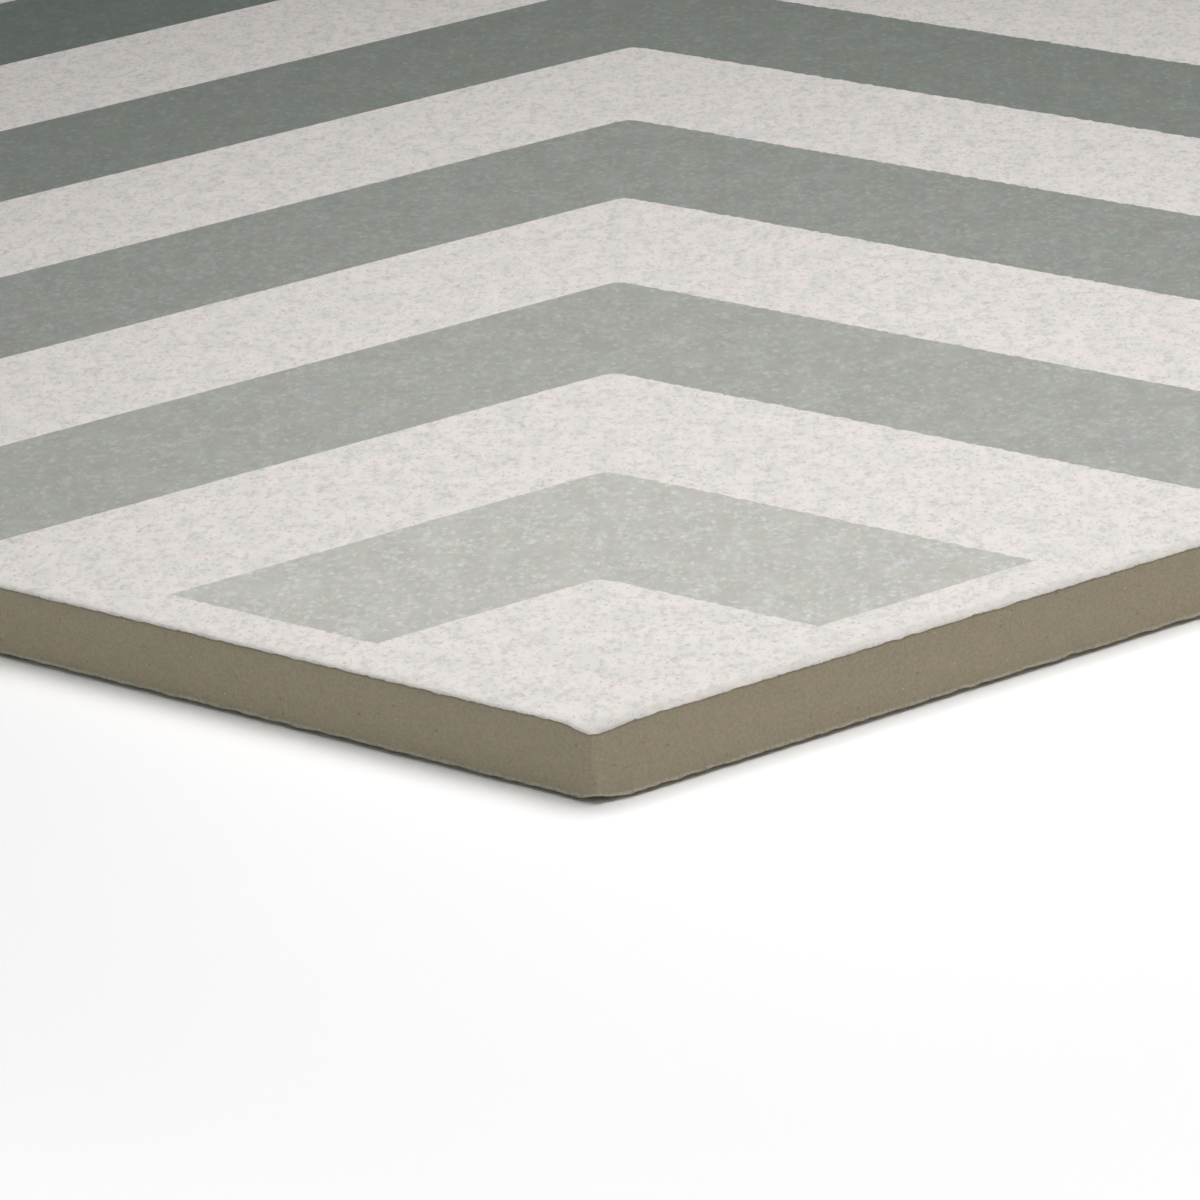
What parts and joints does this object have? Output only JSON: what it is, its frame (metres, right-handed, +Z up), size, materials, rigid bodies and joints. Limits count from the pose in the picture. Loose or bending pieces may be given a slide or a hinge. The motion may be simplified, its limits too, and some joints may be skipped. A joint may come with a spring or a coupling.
{
  "type": "patterned hexagon porcelain tile",
  "caption": "Flat hexagon porcelain floor or wall tile with a matt glazed face in nested pale and grey chevron stripes, a taupe body, eased edges and a keyed back for bedding in mortar.",
  "frame": {"origin": "middle of the tile, on the plane that the back keys rest on", "axes": "+Z up through the glazed face, two opposite corners of the hexagon on the Y axis, flat edges facing -X and +X"},
  "size_m": [0.2166, 0.2498, 0.008],
  "materials": {
    "porcelain": "matt cement-look glaze on the face, bare taupe body on the sides and back"
  },
  "bodies": {
    "root": {"tile": "porcelain"}
  },
  "joints": []
}
